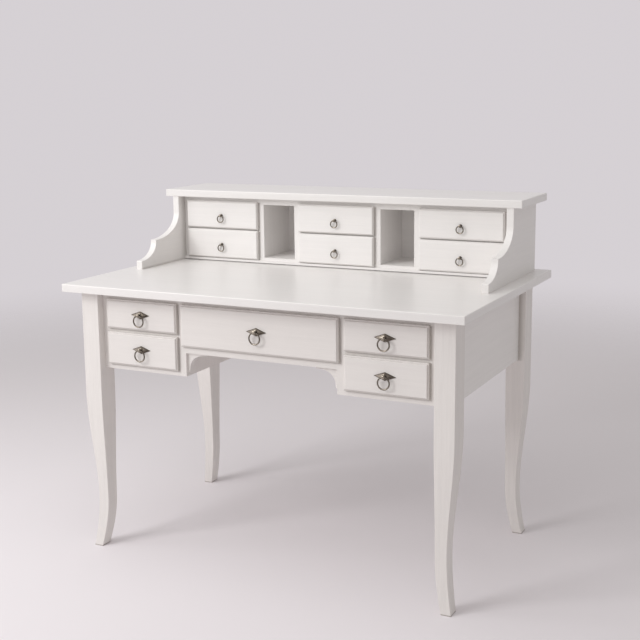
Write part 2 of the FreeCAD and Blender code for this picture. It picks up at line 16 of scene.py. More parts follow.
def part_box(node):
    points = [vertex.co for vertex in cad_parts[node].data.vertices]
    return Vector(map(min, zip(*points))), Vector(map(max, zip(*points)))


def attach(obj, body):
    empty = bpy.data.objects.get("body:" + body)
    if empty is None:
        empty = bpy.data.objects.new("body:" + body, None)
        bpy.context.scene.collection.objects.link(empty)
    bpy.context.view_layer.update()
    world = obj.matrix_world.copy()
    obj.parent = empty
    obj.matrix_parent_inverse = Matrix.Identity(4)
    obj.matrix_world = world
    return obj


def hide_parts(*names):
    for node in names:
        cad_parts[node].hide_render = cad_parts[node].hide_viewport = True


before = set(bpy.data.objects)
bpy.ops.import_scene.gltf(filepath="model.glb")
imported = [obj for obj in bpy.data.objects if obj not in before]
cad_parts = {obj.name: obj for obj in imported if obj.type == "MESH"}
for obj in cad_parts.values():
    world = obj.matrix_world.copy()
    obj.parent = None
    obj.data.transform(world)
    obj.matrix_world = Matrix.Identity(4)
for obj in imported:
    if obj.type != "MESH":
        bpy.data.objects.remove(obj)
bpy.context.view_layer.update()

bl_info = {
    "name": "Writing desk",
    "version": (1, 0, 0),
    "blender": (4, 5, 0),
    "location": "3D View > Sidebar > Desk",
    "description": "Paints a writing desk, dresses its drawer pulls and sets up its studio",
    "category": "Object",
}

LARGE_DRAWERS = ("left_lower", "left_upper", "centre", "right_lower", "right_upper")
SMALL_DRAWERS = ("left_lower", "left_upper", "centre_lower", "centre_upper", "right_lower",
                 "right_upper")
LARGE_DRAWER_NODES = ["drawer_" + name for name in LARGE_DRAWERS]
SMALL_DRAWER_NODES = ["small_drawer_" + name for name in SMALL_DRAWERS]


def both(*names):
    """Left and right node names of mirrored pieces."""
    return [name + "_" + side for name in names for side in ("left", "right")]


TOP_BOARDS = ["table_top", "hutch_top"]
LEGS = both("leg_front", "leg_rear")
UPRIGHT_BOARDS = both("partition", "pigeonhole")
LONG_BOARDS = ["back_panel", "hutch_back", "hutch_base", "centre_board", "hutch_divider_centre",
               *both("hutch_divider")]
DEEP_BOARDS = both("side_panel", "drawer_board_lower", "drawer_board_upper")
SCROLLED_SIDES = both("hutch_side")
# How the nodes begin that get the lighter copy of the paint, which is painted light.
PAINTED_LIGHT_NODES = ("table_top", "hutch", "pigeonhole", "small_drawer", "side_panel")

# Widths of the soft edges between two looks on one piece, in metres.
SKIN = 0.0005        # how near to a face a point is taken to lie on it
JOINT = 0.0001       # change of grain at a joint
PAINT_LINE = 0.0002  # end of the paint on bare wood


class Marks(NamedTuple):
    """One kind of mark in a finish, made of even noise."""

    scale: float            # waves to a metre
    detail: float = 2.0     # how many times finer waves are added
    roughness: float = 0.5  # how strong those are
    shift: float = 0.0      # keeps it apart from the other marks on the same piece


# Marks of the paint and of the wood under it.
PORES = Marks(850, roughness=0.6)
GROWTH = Marks(110, detail=3.0, roughness=0.55, shift=3.1)
STROKES = Marks(320, shift=5.0)
CLOUDS = Marks(2.6, shift=11.0)
WORN_PATCHES = Marks(9, detail=4.0)
RAGGED_EDGE = Marks(45, detail=3.0, shift=7.7)

# Marks of the bare wood.
BARE_PORES = Marks(700, shift=4.0)
BARE_GROWTH = Marks(60, detail=4.0, roughness=0.6, shift=1.0)
WANDER = Marks(3.0)

# Marks of the bronze.
CASTING = Marks(420, detail=4.0, roughness=0.6)
STAINS = Marks(110, detail=3.0, shift=2.0)

# How much narrower a mark is than long, where the wood draws it out.
GRAIN_WIDTH = 0.035
WANDER_WIDTH = 0.3
BARE_GROWTH_WIDTH = 0.02
BARE_PORE_WIDTH = 0.03

GRAIN_PLACES = 37    # different places in the noise where a board's grain may be
GRAIN_SHIFT = 0.71   # from one of them to the next
BARE_SHIFT = 0.37    # of the bare wood's grain for each letter of the drawer's name

# How many faces go round the round pieces.
RING_FACETS = 72
WIRE_FACETS = 20     # round the wire of a ring
PIN_FACETS = 16
PIN_RINGS = 10       # over a pin from end to end
DRILL_FACETS = 32
FLOOR_FACETS = 96

DRILL_LENGTH = 0.05  # more than a stud's width
PIN_RISE = 0.7       # of a pin's head, in radii
SMOOTH_ANGLE = math.radians(32)
BEVEL_ANGLE = math.radians(20)
SENSOR_WIDTH = 36.0  # of the camera, in millimetres

# Places of a Mix node's colours among its sockets.
FIRST_COLOUR = 6
SECOND_COLOUR = 7
MIXED_COLOUR = 2


# --- settings ---------------------------------------------------------------------------------
class PaintSettings(PropertyGroup):
    """Satin white paint over brushed, open-grained wood."""

    colour: FloatVectorProperty(
        name="Paint", description="Colour of the paint on level, well-kept places",
        subtype="COLOR", size=3, min=0, max=1, default=(0.785, 0.752, 0.727))
    # Painted light: a lighter copy of the paint for the superstructure, the tops and the side
    # panels.
    painted_light_colour: FloatVectorProperty(
        name="Lighter paint", description="Paint of the superstructure, top and side panels",
        subtype="COLOR", size=3, min=0, max=1, default=(0.862, 0.838, 0.822))
    # Painted shade: the colour that darkens recesses and corners; the dark band at the feet uses
    # it too.
    dark_tint: FloatVectorProperty(
        name="Settled dust", description="Colour of the dust that settles in the recesses",
        subtype="COLOR", size=3, min=0, max=1, default=(0.33, 0.30, 0.265))
    worn: FloatVectorProperty(
        name="Worn paint", description="Colour that shows along handled edges",
        subtype="COLOR", size=3, min=0, max=1, default=(0.70, 0.655, 0.59))
    inside: FloatVectorProperty(
        name="Bare wood", description="Lighter colour of the unpainted drawer boxes",
        subtype="COLOR", size=3, min=0, max=1, default=(0.66, 0.50, 0.33))
    inside_dark: FloatVectorProperty(
        name="Bare wood grain", description="Darker colour of the unpainted drawer boxes",
        subtype="COLOR", size=3, min=0, max=1, default=(0.50, 0.35, 0.20))
    roughness: FloatProperty(
        name="Roughness", description="Roughness of the satin paint", subtype="FACTOR",
        min=0, max=1, default=0.44)
    wood_roughness: FloatProperty(
        name="Wood roughness", description="Roughness of the bare wood", subtype="FACTOR",
        min=0, max=1, default=0.5)
    top_tone: FloatProperty(
        name="Tone of the tops", description="Tone of the paint on the tops", subtype="FACTOR",
        min=0, max=1, default=0.95)
    top_polish: FloatProperty(
        name="Polish of the tops", description="How much smoother the paint of the tops is",
        subtype="FACTOR", min=0, max=1, default=0.08)
    gloss: FloatProperty(
        name="Gloss", description="Clear gloss over the paint of the tops", subtype="FACTOR",
        min=0, max=1, default=0.2)
    gloss_roughness: FloatProperty(
        name="Gloss roughness", description="Roughness of the clear gloss on the tops",
        subtype="FACTOR", min=0, max=1, default=0.24)
    grain_depth: FloatProperty(
        name="Grain depth", description="Depth of the grain that shows through the paint",
        subtype="DISTANCE", unit="LENGTH", min=0, max=0.002, default=0.00035)
    leg_figure: FloatProperty(
        name="Grain on the legs", description="Strength of the legs' grain; the boards' is 1",
        min=0, max=5, default=1.7)
    edge_wear: FloatProperty(
        name="Edge wear", description="Width of the worn line along an edge",
        subtype="DISTANCE", unit="LENGTH", min=0.0001, max=0.02, default=0.0022)
    wear: FloatProperty(
        name="Wear", description="How strongly the worn line shows", subtype="FACTOR", min=0,
        max=1, default=0.45)
    # How far the painted shade reaches.
    recess: FloatProperty(
        name="Recess", description="How far dust reaches from a drawer front or a corner",
        subtype="DISTANCE", unit="LENGTH", min=0.0005, max=0.05, default=0.006)
    # The dark band at the foot of each leg: its height, and below, how dark it is.
    foot_band: FloatProperty(
        name="Foot band", description="Height of the dark band at the foot of a leg",
        subtype="DISTANCE", unit="LENGTH", min=0.0005, max=0.05, default=0.004)
    foot_dust: FloatProperty(
        name="Dark feet", description="How dark the band at the foot of a leg is",
        subtype="FACTOR", min=0, max=1, default=0.8)
    # Painted shade in the corner of a rear leg and the side panel.
    panel_dust: FloatProperty(
        name="Shade at the panels", description="Painted shade in the corner of a leg and a side panel",
        subtype="FACTOR", min=0, max=1, default=0.6)
    # Painted shade on the frames beside and below the drawers.
    gap_dust: FloatProperty(
        name="Shade at the drawers", description="Painted shade on a frame beside and below its drawers",
        subtype="FACTOR", min=0, max=1, default=0.46)
    # Painted shade on the frame under the table top's overhang.
    under_dust: FloatProperty(
        name="Shade under the top", description="Painted shade on the frame right under the table top",
        subtype="FACTOR", min=0, max=1, default=0.95)
    # Painted shade in the steps of the drawer fronts; less of it on the small drawers at the
    # right.
    step_dust: FloatProperty(
        name="Shade in the steps", description="Painted shade in the step round a drawer's front",
        subtype="FACTOR", min=0, max=1, default=0.44)
    clean_step_dust: FloatProperty(
        name="Fainter shade in steps", description="The same on the small drawers at the right",
        subtype="FACTOR", min=0, max=1, default=0.2)
    # Painted shade on the inner faces of the scrolled sides, more at their foot and corner.
    scroll_dust: FloatProperty(
        name="Shade on the scrolls", description="Painted shade on the inner faces of the scrolled sides",
        subtype="FACTOR", min=0, max=1, default=0.1)
    scroll_foot_dust: FloatProperty(
        name="Shade below the scrolls", description="More dust along the foot of those faces",
        subtype="FACTOR", min=0, max=1, default=0.4)
    scroll_corner_dust: FloatProperty(
        name="Shade behind the scrolls", description="More dust in their corner at the drawers",
        subtype="FACTOR", min=0, max=1, default=0.3)
    front_step: FloatProperty(
        name="Front step", description="Depth of the step round a drawer's raised field",
        subtype="DISTANCE", unit="LENGTH", min=0.0005, max=0.02, default=0.0034)
    front_thickness: FloatProperty(
        name="Front thickness", description="Painted thickness of a drawer's lapping front",
        subtype="DISTANCE", unit="LENGTH", min=0.001, max=0.05, default=0.0122)
    lap: FloatProperty(
        name="Lap", description="How far a large drawer's front laps over its frame",
        subtype="DISTANCE", unit="LENGTH", min=0, max=0.05, default=0.009)
    small_lap: FloatProperty(
        name="Small lap", description="How far a small drawer's front laps over its frame",
        subtype="DISTANCE", unit="LENGTH", min=0, max=0.05, default=0.007)
    wall: FloatProperty(
        name="Pigeonhole wall", description="Thickness of a pigeonhole's walls",
        subtype="DISTANCE", unit="LENGTH", min=0, max=0.05, default=0.018)


class PullSettings(PropertyGroup):
    """Details of the bronze pulls that are finer than the model."""

    colour: FloatVectorProperty(
        name="Bronze", description="Colour of the bare metal where it is rubbed",
        subtype="COLOR", size=3, min=0, max=1, default=(0.44, 0.395, 0.33))
    patina: FloatVectorProperty(
        name="Patina", description="Colour of the dark, dull metal",
        subtype="COLOR", size=3, min=0, max=1, default=(0.115, 0.098, 0.08))
    roughness: FloatProperty(
        name="Roughness", description="Roughness of the dark metal", subtype="FACTOR", min=0,
        max=1, default=0.32)
    cast_depth: FloatProperty(
        name="Casting depth", description="Depth of the skin of the casting",
        subtype="DISTANCE", unit="LENGTH", min=0, max=0.002, default=0.0002)
    rubbed_front: FloatProperty(
        name="Rubbed front", description="How much brighter the metal is towards the front",
        subtype="FACTOR", min=0, max=1, default=0.35)
    rubbed_ring: FloatProperty(
        name="Rubbed ring", description="How much brighter a ring is at its bottom",
        subtype="FACTOR", min=0, max=1, default=0.26)
    dull_ring: FloatProperty(
        name="Dull ring", description="How much duller a ring is all over", subtype="FACTOR",
        min=0, max=1, default=0.14)
    # Painted highlight on the left of a plate's crown.
    crown_highlight: FloatProperty(
        name="Crown highlight", description="How much brighter the left of a plate's crown is",
        subtype="FACTOR", min=0, max=1, default=0.6)
    rim: FloatProperty(
        name="Rim", description="Width of the flat rim round a lozenge plate",
        subtype="DISTANCE", unit="LENGTH", min=0.0003, max=0.004, default=0.0013)
    edge: FloatProperty(
        name="Edge", description="Thickness of a lozenge plate at its rim",
        subtype="DISTANCE", unit="LENGTH", min=0.0005, max=0.004, default=0.0014)
    crown: FloatProperty(
        name="Crown", description="Rise of a lozenge plate's facets",
        subtype="DISTANCE", unit="LENGTH", min=0.0005, max=0.008, default=0.003)
    crown_flat: FloatProperty(
        name="Crown flat", description="Distance from the crown's flat to the plate's middle",
        subtype="DISTANCE", unit="LENGTH", min=0.0005, max=0.008, default=0.0022)
    bevel: FloatProperty(
        name="Bevel", description="Rounding of a plate's edges", subtype="DISTANCE",
        unit="LENGTH", min=0.00005, max=0.001, default=0.0002)
    ring_taper: FloatProperty(
        name="Ring taper", description="How much thinner a ring is in its upper half",
        subtype="FACTOR", min=0, max=0.5, default=0.08)
    pin: FloatProperty(
        name="Pin", description="Radius of the round-headed pins that hold a plate",
        subtype="DISTANCE", unit="LENGTH", min=0.0003, max=0.003, default=0.0011)
    pin_inset: FloatProperty(
        name="Pin inset", description="Distance of a pin from the end of its plate",
        subtype="DISTANCE", unit="LENGTH", min=0.001, max=0.02, default=0.00506)
    collar: FloatProperty(
        name="Collar", description="Radius of the collar at the foot of a large stud",
        subtype="DISTANCE", unit="LENGTH", min=0.002, max=0.02, default=0.0062)
    collar_rise: FloatProperty(
        name="Collar rise", description="Height of a large stud's collar above its plate",
        subtype="DISTANCE", unit="LENGTH", min=0.0005, max=0.01, default=0.0034)
    head: FloatProperty(
        name="Head", description="Radius of a large stud's head", subtype="DISTANCE",
        unit="LENGTH", min=0.001, max=0.02, default=0.005)
    small_collar_rise: FloatProperty(
        name="Small collar rise", description="Height of a small stud's collar",
        subtype="DISTANCE", unit="LENGTH", min=0.0005, max=0.01, default=0.0017)
    small_head: FloatProperty(
        name="Small head", description="Radius of a small stud's head", subtype="DISTANCE",
        unit="LENGTH", min=0.001, max=0.02, default=0.0039)
    eye_play: FloatProperty(
        name="Eye play", description="Room round a ring in the eye of its stud",
        subtype="DISTANCE", unit="LENGTH", min=0.0001, max=0.003, default=0.001)
    facets: IntProperty(
        name="Turned facets", description="Faces round a turned stud", min=12, max=96,
        default=40)


class StageSettings(PropertyGroup):
    """Floor, lamps and camera."""

    floor: FloatVectorProperty(
        name="Floor", description="Colour of the floor", subtype="COLOR", size=3, min=0, max=1,
        default=(0.85, 0.81, 0.835))
    floor_roughness: FloatProperty(
        name="Floor roughness", description="Roughness of the floor", subtype="FACTOR", min=0,
        max=1, default=0.9)
    floor_gloss: FloatProperty(
        name="Floor gloss", description="Strength of the floor's reflection", subtype="FACTOR",
        min=0, max=1, default=0.15)
    floor_radius: FloatProperty(
        name="Floor radius", description="Radius of the round floor", subtype="DISTANCE",
        unit="LENGTH", min=1, max=50, default=7.0)
    fade_start: FloatProperty(
        name="Fade start", description="How far from the middle the floor starts to fade",
        subtype="DISTANCE", unit="LENGTH", min=0, max=50, default=2.0)
    fade_end: FloatProperty(
        name="Fade end", description="How far from the middle the floor is gone",
        subtype="DISTANCE", unit="LENGTH", min=0, max=50, default=5.0)
    backdrop: FloatVectorProperty(
        name="Backdrop", description="Colour behind the desk", subtype="COLOR", size=3, min=0,
        max=1, default=(0.67, 0.635, 0.66))
    ambient: FloatProperty(
        name="Ambient", description="Light that comes from all round", min=0, max=2,
        default=0.48)
    ambient_colour: FloatVectorProperty(
        name="Ambient colour", description="Colour of the light from all round",
        subtype="COLOR", size=3, min=0, max=1, default=(1.0, 0.975, 0.955))
    aim: FloatVectorProperty(
        name="Aim", description="Place that the lamps face", subtype="TRANSLATION",
        unit="LENGTH", size=3, default=(0.0, 0.0, 0.6))
    key_power: FloatProperty(
        name="Key lamp", description="Power of the lamp at the front left",
        subtype="POWER", min=0, max=2000, default=51)
    key_size: FloatProperty(
        name="Key lamp size", description="Side of the lamp at the front left",
        subtype="DISTANCE", unit="LENGTH", min=0.05, max=5, default=1.4)
    key_place: FloatVectorProperty(
        name="Key lamp place", description="Where the lamp at the front left stands",
        subtype="TRANSLATION", unit="LENGTH", size=3, default=(-1.9, -2.75, 2.35))
    top_power: FloatProperty(
        name="Top lamp", description="Power of the wide lamp overhead", subtype="POWER", min=0,
        max=2000, default=24)
    top_size: FloatProperty(
        name="Top lamp size", description="Side of the wide lamp overhead",
        subtype="DISTANCE", unit="LENGTH", min=0.05, max=5, default=2.5)
    top_place: FloatVectorProperty(
        name="Top lamp place", description="Where the wide lamp hangs",
        subtype="TRANSLATION", unit="LENGTH", size=3, default=(-0.4, -0.9, 3.2))
    side_power: FloatProperty(
        name="Side lamp", description="Power of the lamp at the far left", subtype="POWER",
        min=0, max=2000, default=8)
    side_size: FloatProperty(
        name="Side lamp size", description="Side of the lamp at the far left",
        subtype="DISTANCE", unit="LENGTH", min=0.05, max=5, default=0.9)
    side_place: FloatVectorProperty(
        name="Side lamp place", description="Where the lamp at the far left stands",
        subtype="TRANSLATION", unit="LENGTH", size=3, default=(-2.9, -1.5, 1.5))
    camera_place: FloatVectorProperty(
        name="Camera place", description="Where the camera stands", subtype="TRANSLATION",
        unit="LENGTH", size=3, default=(1.4911, -2.9785, 1.3328))
    camera_heading: FloatProperty(
        name="Camera heading", description="Turn to the left of straight ahead",
        subtype="ANGLE", default=math.radians(27.649))
    camera_pitch: FloatProperty(
        name="Camera pitch", description="Tilt below level", subtype="ANGLE",
        default=math.radians(10.414))
    camera_roll: FloatProperty(
        name="Camera roll", description="Roll about the line of sight", subtype="ANGLE",
        default=math.radians(-0.849))
    camera_lens: FloatProperty(
        name="Lens", description="Focal length in millimetres", subtype="DISTANCE_CAMERA",
        default=65.67)
    camera_shift: FloatVectorProperty(
        name="Shift", description="Shift of the view, in widths of it", size=2,
        default=(0.0469, -0.0303))


# --- shader maths -----------------------------------------------------------------------------
class Wire:
    """What comes out of a node; arithmetic on a number adds Math nodes."""

    def __init__(self, nodes, socket):
        self.nodes = nodes
        self.socket = socket

    def maths(self, operation, *inputs):
        """A Math node on numbers or wires."""
        return self.nodes.node("ShaderNodeMath", {"operation": operation}, inputs)

    def __add__(self, other):
        return self.maths("ADD", self, other)

    def __radd__(self, other):
        return self.maths("ADD", other, self)

    def __sub__(self, other):
        return self.maths("SUBTRACT", self, other)

    def __rsub__(self, other):
        return self.maths("SUBTRACT", other, self)

    def __mul__(self, other):
        return self.maths("MULTIPLY", self, other)

    def __rmul__(self, other):
        return self.maths("MULTIPLY", other, self)

    def least(self, other):
        """The smaller of two."""
        return self.maths("MINIMUM", self, other)

    def most(self, other):
        """The larger of two."""
        return self.maths("MAXIMUM", self, other)

    def size(self):
        """The value without its sign."""
        return self.maths("ABSOLUTE", self)


class Nodes:
    """The nodes of a material or a world."""

    def __init__(self, tree):
        self.tree = tree

    def node(self, kind, settings, inputs, output=0):
        """Add a node; inputs are values or wires, in order or by a socket's name or place."""
        node = self.tree.nodes.new(kind)
        for name, value in settings.items():
            setattr(node, name, value)
        pairs = inputs.items() if isinstance(inputs, dict) else enumerate(inputs)
        for key, value in pairs:
            self.plug(node.inputs[key], value)
        return Wire(self, node.outputs[output])

    def plug(self, socket, value):
        """Link a wire to a socket, or set the socket to a value."""
        if isinstance(value, Wire):
            self.tree.links.new(value.socket, socket)
        else:
            socket.default_value = value

    def end(self, output, wire):
        """Let a wire be the surface of the output node with this name."""
        self.plug(self.tree.nodes[output].inputs["Surface"], wire)


class Finish(Nodes):
    """A material in the making, with its Principled shader at the end."""

    def __init__(self, name):
        self.material = bpy.data.materials.new(name)
        self.material.use_nodes = True
        super().__init__(self.material.node_tree)
        self.shader = self.tree.nodes["Principled BSDF"]
        self.place = self.node("ShaderNodeTexCoord", {}, {}, "Object")
        self.x = self.node("ShaderNodeSeparateXYZ", {}, [self.place], "X")
        parts = self.x.socket.node.outputs
        self.y = Wire(self, parts["Y"])
        self.z = Wire(self, parts["Z"])

    def set(self, **values):
        """Set sockets of the shader by name, with _ for a space."""
        for name, value in values.items():
            self.plug(self.shader.inputs[name.replace("_", " ")], value)

    def noise(self, marks, stretch=(1, 1, 1), offset=0.0):
        """Even noise from 0 to 1; a stretch below 1 draws it out along that axis."""
        shift = offset + marks.shift
        drawn = self.node("ShaderNodeVectorMath", {"operation": "MULTIPLY_ADD"},
                          [self.place, stretch, (shift, shift, shift)])
        return self.node("ShaderNodeTexNoise", {},
                         {"Vector": drawn, "Scale": marks.scale, "Detail": marks.detail,
                          "Roughness": marks.roughness})

    def step(self, value, low, high):
        """0 below low, 1 above high and smooth between; low may be above high."""
        return self.node("ShaderNodeMapRange", {"interpolation_type": "SMOOTHSTEP"},
                         [value, low, high])

    def mix(self, factor, first, second):
        """A colour between two colours, the second where the factor is 1."""
        return self.node("ShaderNodeMix", {"data_type": "RGBA"},
                         {"Factor": factor, FIRST_COLOUR: first, SECOND_COLOUR: second},
                         MIXED_COLOUR)

    def near(self, distance):
        """1 where a distance is less than SKIN, and 0 where it is over three times that."""
        return self.step(distance.size(), 3 * SKIN, SKIN)

    def bump(self, height, depth, strength):
        """Raise the surface by a depth where the height is 1."""
        self.set(Normal=self.node("ShaderNodeBump", {},
                                  {"Height": height, "Distance": depth,
                                   "Strength": strength}))


def opaque(colour, tone=1.0):
    """A colour with alpha, made lighter or darker by tone."""
    return (*[min(1.0, channel * tone) for channel in colour], 1.0)


def along(axis, width=GRAIN_WIDTH):
    """Stretch that draws noise out along an axis; width is that of a mark of length 1."""
    return tuple(width if name == axis else 1 for name in "XYZ")


def grain_place(node):
    """Offset of a node's noise, so that most boards that meet differ in their grain."""
    return sum(map(ord, node)) % GRAIN_PLACES * GRAIN_SHIFT


def wood_grain(finish, axis, offset):
    """Pores and growth lines drawn out along an axis, from 0 to 1."""
    return (finish.noise(PORES, along(axis), offset),
            finish.noise(GROWTH, along(axis), offset))


def frame_grain(uprights):
    """Grain of a glued-up frame: along Z in its uprights and along the axis between them.

    uprights are pairs of distances from the middle between which an upright runs.
    """
    def grain(finish, axis, offset):
        aside = finish.x.size()
        upright = 0.0
        for low, high in uprights:
            inside = finish.step(aside, low - JOINT, low) * finish.step(aside, high + JOINT, high)
            upright = inside + upright
        rails = wood_grain(finish, axis, offset)
        stiles = wood_grain(finish, "Z", offset + 2.0)
        return [rail * (1 - upright) + stile * upright for rail, stile in zip(rails, stiles)]
    return grain


def edge_mask(finish, node, width):
    """1 at the edges of a board-shaped node and 0 beyond a width from them.

    A point lies on an edge where two of its distances from the faces are small, so the second
    smallest of the three is its distance from the edge.
    """
    low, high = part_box(node)
    side, face, end = [(wire - low[i]).least(high[i] - wire).size()
                       for i, wire in enumerate((finish.x, finish.y, finish.z))]
    second = side.least(face).most(side.most(face).least(end))
    ragged = finish.noise(RAGGED_EDGE)
    return finish.step(second - (ragged - 0.5) * width, width, 0.0)


def outside(finish, nodes, width):
    """1 just outside these nodes as seen from the front, fading out within a width.

    It is where a drawer front's shadow is painted, and it reaches further to the right and
    below, where less light comes, than to the left and above.
    """
    mask = 0.0
    for node in nodes:
        low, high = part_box(node)
        middle, half = (low + high) / 2, (high - low) / 2
        aside = (finish.x - (middle.x + width / 2)).size() - half.x
        below = (finish.z - (middle.z - width / 2)).size() - half.z
        mask = finish.step(aside.most(below), width / 2, -width / 4).most(mask)
    return mask


def paint_colour(finish, colour, fine, broad, tone, figure):
    """White paint that follows the grain a little and differs in tone over a board."""
    cloud = finish.noise(CLOUDS)
    shade = 0.5 * (fine - 0.5) + 0.9 * (broad - 0.5) + 0.5 * (cloud - 0.5)
    return finish.mix(finish.step(shade, 0.5, -0.5),
                      opaque(colour, (1 + 0.035 * figure) * tone),
                      opaque(colour, (1 - 0.03 * figure) * tone))


def coat(finish, node, paint, axis, grain=wood_grain, dust=None, tone=1.0, figure=1.0,
         polish=0.0, wear=True):
    """Give a finish the relief of paint on a node, and return the paint's colour and roughness.

    The grain under it runs along the axis. The darkening function returns a mask where the
    paint is darkened, mostly painted shade, tone makes the paint lighter or darker, figure above
    1 makes the grain show more, and polish makes the paint smoother.
    """
    offset = grain_place(node)
    fine, broad = grain(finish, axis, offset)
    # Painted light: some nodes get the lighter copy of the paint.
    white = paint.painted_light_colour if node.startswith(PAINTED_LIGHT_NODES) else paint.colour
    colour = paint_colour(finish, white, fine, broad, tone, figure)
    # Painted shade: darken the paint where the mask says.
    if dust:
        colour = finish.mix(dust(finish, paint, node), colour, opaque(paint.dark_tint))
    if wear:
        edge = edge_mask(finish, node, paint.edge_wear)
        patchy = finish.step(finish.noise(WORN_PATCHES, offset=offset), 0.42, 0.68)
        colour = finish.mix(edge * patchy * paint.wear, colour, opaque(paint.worn, tone))
    strokes = finish.noise(STROKES, along(axis), offset)
    finish.bump(0.55 * fine + 0.3 * strokes + 0.15 * broad, paint.grain_depth, 0.55)
    return colour, paint.roughness - polish + 0.10 * (strokes - 0.5)


def painted(node, paint, axis, **layers):
    """A finish with one coat of paint; the layers are those of coat."""
    finish = Finish("paint_" + node)
    colour, roughness = coat(finish, node, paint, axis, **layers)
    finish.set(Base_Color=colour, Roughness=roughness)
    return finish


def cover(node, finish):
    """Give a node of the model one material."""
    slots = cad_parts[node].data.materials
    slots.clear()
    slots.append(finish.material)


# --- small modelling tools --------------------------------------------------------------------
def start():
    """Leave edit mode and select nothing."""
    if bpy.context.object and bpy.context.object.mode != "OBJECT":
        bpy.ops.object.mode_set(mode="OBJECT")
    bpy.ops.object.select_all(action="DESELECT")


def choose(*objects):
    """Select these objects and make the first active."""
    start()
    for item in objects:
        item.select_set(True)
    bpy.context.view_layer.objects.active = objects[0]


def settle():
    """Put the active object's place, turn and scale into its mesh."""
    bpy.ops.object.transform_apply(location=True, rotation=True, scale=True)


def apply_modifier(item, kind, **settings):
    """Give an object a modifier with these settings and apply it."""
    choose(item)
    modifier = item.modifiers.new(kind.title(), kind)
    for name, value in settings.items():
        setattr(modifier, name, value)
    bpy.ops.object.modifier_apply(modifier=modifier.name)


def turned(name, sections, facets):
    """A turned piece on the Y axis: sections are (distance in front of the face, radius)."""
    first, radius = sections[0]
    start()
    bpy.ops.mesh.primitive_circle_add(vertices=facets, radius=radius, fill_type="NGON",
                                      location=(0, -first, 0), rotation=(math.pi / 2, 0, 0))
    piece = bpy.context.object
    piece.name = name
    settle()
    bpy.ops.object.mode_set(mode="EDIT")
    bpy.ops.mesh.select_all(action="SELECT")
    reached = first
    for distance, wider in sections[1:]:
        bpy.ops.mesh.extrude_region_move(
            TRANSFORM_OT_translate={"value": (0, reached - distance, 0)})
        bpy.ops.transform.resize(value=(wider / radius, 1, wider / radius),
                                 center_override=(0, -distance, 0))
        reached, radius = distance, wider
    bpy.ops.mesh.select_all(action="SELECT")
    bpy.ops.mesh.normals_make_consistent(inside=False)
    bpy.ops.object.mode_set(mode="OBJECT")
    return piece


def drilled(piece, distance, radius):
    """Cut a round hole along X through a piece, at a distance in front of the face."""
    start()
    bpy.ops.mesh.primitive_cylinder_add(vertices=DRILL_FACETS, radius=radius,
                                        depth=DRILL_LENGTH, location=(0, -distance, 0),
                                        rotation=(0, math.pi / 2, 0))
    drill = bpy.context.object
    apply_modifier(piece, "BOOLEAN", operation="DIFFERENCE", object=drill, solver="EXACT")
    choose(drill)
    bpy.ops.object.delete()


def merged(name, *pieces):
    """Join objects into the first, name it and shade its gentle edges smooth."""
    choose(*pieces)
    if len(pieces) > 1:
        bpy.ops.object.join()
    whole = bpy.context.object
    whole.name = name
    whole.data.name = name
    settle()
    bpy.ops.object.shade_smooth_by_angle(angle=SMOOTH_ANGLE)
    return whole


def copied(pattern, name, place):
    """A copy of a pattern with its own mesh, moved to a place in its mesh."""
    copy = pattern.copy()
    copy.data = pattern.data.copy()
    copy.name = name
    copy.data.name = name
    bpy.context.scene.collection.objects.link(copy)
    choose(copy)
    copy.location = place
    settle()
    return copy


def stands_for(piece, node, body, finish):
    """Dress a piece, let it ride on a body and hide the node it replaces."""
    piece.data.materials.clear()
    piece.data.materials.append(finish.material)
    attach(piece, body)
    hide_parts(node)


# --- paint and wood ---------------------------------------------------------------------------
class DESK_OT_paint_tops(Operator):
    """Paint the table top and the board on the superstructure, grain along their length"""

    bl_idname = "desk.paint_tops"
    bl_label = "Paint the tops"

    def execute(self, context):
        paint = context.scene.desk_paint
        for node in TOP_BOARDS:
            finish = painted(node, paint, "X", tone=paint.top_tone, polish=paint.top_polish)
            finish.set(Coat_Weight=paint.gloss, Coat_Roughness=paint.gloss_roughness)
            cover(node, finish)
        return {"FINISHED"}


def leg_dust(finish, paint, node):
    """A dark band at a leg's foot, and painted shade in its corner with the side panel."""
    low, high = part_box(node)
    panel_low, panel_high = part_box("side_panel_right")
    inner = low.y if "rear" in node else high.y
    foot = finish.step(finish.z, paint.foot_band, 0.3 * paint.foot_band)
    reach = finish.step(finish.x.size(), panel_high.x + 3 * paint.recess, panel_high.x)
    above = finish.step(finish.z, panel_low.z - paint.recess, panel_low.z)
    corner = reach * above * finish.near(finish.y - inner)
    return (paint.foot_dust * foot).most(paint.panel_dust * corner)


class DESK_OT_paint_legs(Operator):
    """Paint the four sabre legs, grain up and down"""

    bl_idname = "desk.paint_legs"
    bl_label = "Paint the legs"

    def execute(self, context):
        paint = context.scene.desk_paint
        for node in LEGS:
            cover(node, painted(node, paint, "Z", dust=leg_dust, figure=paint.leg_figure,
                                wear=False))
        return {"FINISHED"}


def scroll_dust(finish, paint, node):
    """Painted shade on a scrolled side's inner face, more at its foot and in its corner."""
    low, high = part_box(node)
    inner = min(abs(low.x), abs(high.x))
    frame_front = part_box("hutch_frame")[0].y
    foot = finish.step(finish.z, low.z + 1.5 * paint.recess, low.z)
    corner = finish.step(finish.y, frame_front - 6 * paint.recess, frame_front)
    more = (paint.scroll_foot_dust * foot).most(paint.scroll_corner_dust * corner)
    return (paint.scroll_dust + more) * finish.near(finish.x.size() - inner)


